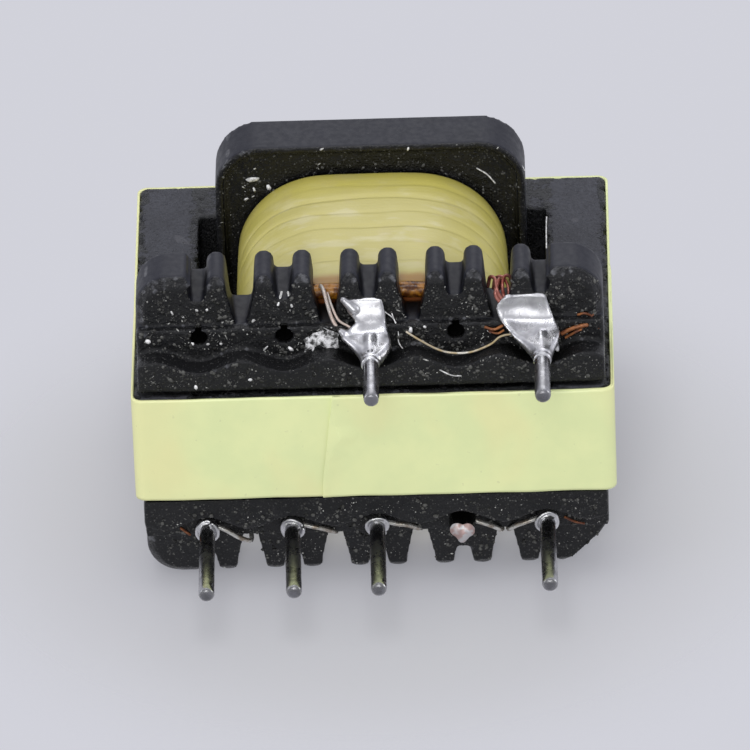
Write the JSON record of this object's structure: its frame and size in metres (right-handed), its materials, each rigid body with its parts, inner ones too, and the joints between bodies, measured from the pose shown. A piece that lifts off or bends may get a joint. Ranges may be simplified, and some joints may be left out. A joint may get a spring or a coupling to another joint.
{
  "type": "pcb transformer",
  "caption": "Small switch-mode transformer: taped ferrite E core on a black vertical bobbin with comb-edged terminal rails and two rows of tinned through-hole pins.",
  "frame": {"origin": "middle of the pin pattern, on the outer face of the core tape that lies against the circuit board", "axes": "+Z away from the board along the winding axis, so the pins point to -Z; +X along the pin rows from position 1 to position 5; the front row, with two pins left, is at -Y"},
  "size_m": [0.0194, 0.0142, 0.0202],
  "materials": {
    "ferrite": "fine matt sintered ferrite",
    "core_tape": "matt pale yellow-green polyester tape",
    "moulding": "black phenolic moulding with a film of varnish",
    "cover_tape": "glossy golden polyester tape",
    "layer_tape": "amber polyester tape",
    "copper": "enamelled copper wire",
    "tin": "bright tin, slightly dulled",
    "solder": "smooth bright solder"
  },
  "bodies": {
    "root": {"core_lower": "ferrite", "core_upper": "ferrite", "core_tape": "core_tape", "bobbin": "moulding", "primary_inner": "copper", "tape_inner": "layer_tape", "secondary": "copper", "tape_middle": "layer_tape", "primary_outer": "copper", "tape_outer": "layer_tape", "auxiliary": "copper", "winding_cover": "cover_tape", "pin_front_3": "tin", "pin_front_5": "tin", "pin_rear_1": "tin", "pin_rear_2": "tin", "pin_rear_3": "tin", "pin_rear_4": "tin", "pin_rear_5": "tin", "solder_front_3": "solder", "solder_front_5": "solder", "solder_rear_1": "solder", "solder_rear_2": "solder", "solder_rear_3": "solder", "solder_rear_5": "solder", "lead_front_3": "copper", "lead_front_5": "copper", "strand_front": "copper", "lead_rear_1": "copper", "lead_rear_2": "copper", "lead_rear_3": "copper", "lead_rear_4": "copper", "lead_rear_5": "copper"}
  },
  "joints": []
}
